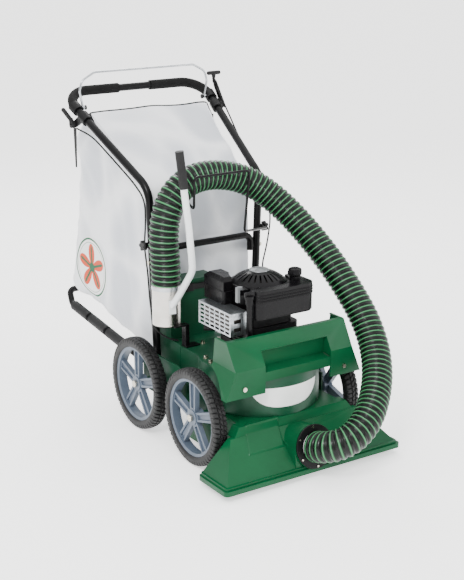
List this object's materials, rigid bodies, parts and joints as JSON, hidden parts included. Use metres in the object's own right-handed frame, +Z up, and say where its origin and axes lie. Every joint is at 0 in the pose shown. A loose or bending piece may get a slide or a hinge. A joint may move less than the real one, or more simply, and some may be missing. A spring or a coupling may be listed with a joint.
{
  "type": "leaf vacuum mulcher",
  "caption": "Walk-behind lawn vacuum and mulcher: wide green floor nozzle, fan housing under an engine, wheels, rear felt bag, bent tube handle and on-board suction hose with wand.",
  "frame": {"origin": "on the ground, at the centre of the machine's box without its hose", "axes": "+Z up, the nozzle faces -Y, the operator stands at +Y, +X is the machine's side away from the wand"},
  "size_m": [0.6662, 1.3822, 1.1183],
  "materials": {
    "green_plastic": "moulded semi-gloss",
    "green_paint": "powder coat",
    "black_tube": "black powder coat",
    "tyre_rubber": "treaded rubber",
    "grey_plastic": "moulded satin",
    "bright_steel": "bright",
    "zinc": "zinc plated",
    "white_paint": "white enamel",
    "steel": "dull",
    "engine_plastic": "moulded satin",
    "engine_metal": "black painted casting",
    "black_plastic": "moulded",
    "foam": "closed-cell foam",
    "grip_rubber": "ribbed",
    "hose": "helix hose",
    "bag_felt": "needled felt",
    "webbing": "woven webbing",
    "cord": "braided",
    "cable_jacket": "vinyl jacket"
  },
  "bodies": {
    "chassis": {"wheel_axles": "bright_steel", "axle_caps": "zinc", "chassis_frame": "green_paint", "impeller_housing": "green_paint", "housing_deck": "green_paint", "exhaust_duct": "green_paint", "duct_latch_strap": "grip_rubber", "floor_nozzle": "green_plastic", "hose_port_flange": "black_plastic", "panel_screws": "zinc", "front_shroud": "green_plastic", "handle_frame": "black_tube", "handle_cross_tube": "black_tube", "handle_bolts": "zinc", "foam_grips": "foam", "bail_pivots": "black_plastic", "lever_bracket": "black_plastic", "crankcase": "engine_metal", "blower_housing": "engine_plastic", "fuel_tank": "engine_plastic", "recoil_screen": "engine_plastic", "muffler": "steel", "muffler_guard": "bright_steel", "air_cleaner": "engine_plastic", "carburettor": "engine_metal", "oil_filler_tube": "engine_plastic", "spark_plug": "engine_metal", "deck_bolts": "zinc", "suction_hose": "hose", "wand_tube": "bright_steel", "hose_clamp": "zinc", "wand_handle": "white_paint", "wand_grip": "grip_rubber", "wand_bracket": "black_tube", "hose_hanger": "black_tube", "bag": "bag_felt", "bag_hem_rod": "zinc", "bag_carrier": "black_tube", "bag_webbing": "webbing", "starter_bracket": "black_plastic", "starter_cord": "cord", "control_cable": "cable_jacket"},
    "wheel_front_left": {"tyre_front_left": "tyre_rubber", "rim_front_left": "grey_plastic"},
    "wheel_front_right": {"tyre_front_right": "tyre_rubber", "rim_front_right": "grey_plastic"},
    "wheel_rear_left": {"tyre_rear_left": "tyre_rubber", "rim_rear_left": "grey_plastic"},
    "wheel_rear_right": {"tyre_rear_right": "tyre_rubber", "rim_rear_right": "grey_plastic"},
    "rotor": {"impeller": "bright_steel", "crankshaft": "steel"},
    "bail": {"bail": "bright_steel"},
    "drive_lever": {"drive_lever": "black_plastic"},
    "starter": {"starter_grip": "black_plastic"},
    "fuel_cap": {"fuel_cap": "engine_plastic"},
    "dipstick": {"oil_dipstick": "engine_plastic"},
    "choke": {"choke_lever": "grey_plastic"},
    "knob_left": {"handle_knob_left": "black_plastic"},
    "knob_right": {"handle_knob_right": "black_plastic"}
  },
  "joints": [
    {"name": "wheel_front_left_spin", "type": "hinge", "parent": "chassis", "child": "wheel_front_left", "pos_m": [-0.2475, -0.333, 0.1525], "axis": [1, 0, 0], "continuous": true},
    {"name": "wheel_front_right_spin", "type": "hinge", "parent": "chassis", "child": "wheel_front_right", "pos_m": [0.2475, -0.333, 0.1525], "axis": [1, 0, 0], "continuous": true},
    {"name": "wheel_rear_left_spin", "type": "hinge", "parent": "chassis", "child": "wheel_rear_left", "pos_m": [-0.2475, 0.01, 0.1525], "axis": [1, 0, 0], "continuous": true},
    {"name": "wheel_rear_right_spin", "type": "hinge", "parent": "chassis", "child": "wheel_rear_right", "pos_m": [0.2475, 0.01, 0.1525], "axis": [1, 0, 0], "continuous": true},
    {"name": "rotor_spin", "type": "hinge", "parent": "chassis", "child": "rotor", "pos_m": [0, -0.311, 0.3], "axis": [0, 0, 1], "continuous": true},
    {"name": "bail_fold", "type": "hinge", "parent": "chassis", "child": "bail", "pos_m": [0, 0.37338, 1.00183], "axis": [-1, 0, 0], "range_deg": [0, 35], "stiffness_Nm_per_rad": 0.4},
    {"name": "drive_lever_swing", "type": "hinge", "parent": "chassis", "child": "drive_lever", "pos_m": [-0.272, 0.37538, 0.94983], "axis": [1, 0, 0], "range_deg": [-18, 22]},
    {"name": "starter_pull", "type": "slide", "parent": "chassis", "child": "starter", "axis": [0.1087, 0.7655, 0.6342], "range_m": [0, 0.18], "stiffness_N_per_m": 40},
    {"name": "fuel_cap_lift", "type": "slide", "parent": "chassis", "child": "fuel_cap", "axis": [0, 0, 1], "range_m": [0, 0.03]},
    {"name": "dipstick_lift", "type": "slide", "parent": "chassis", "child": "dipstick", "axis": [0, 0, 1], "range_m": [0, 0.15]},
    {"name": "choke_swing", "type": "hinge", "parent": "chassis", "child": "choke", "pos_m": [-0.105, -0.362, 0.544], "axis": [0, 0, 1], "range_deg": [-20, 10]},
    {"name": "knob_left_turn", "type": "hinge", "parent": "chassis", "child": "knob_left", "pos_m": [-0.232, -0.005, 0.615], "axis": [1, 0, 0], "continuous": true},
    {"name": "knob_right_turn", "type": "hinge", "parent": "chassis", "child": "knob_right", "pos_m": [0.232, -0.005, 0.615], "axis": [1, 0, 0], "continuous": true}
  ]
}
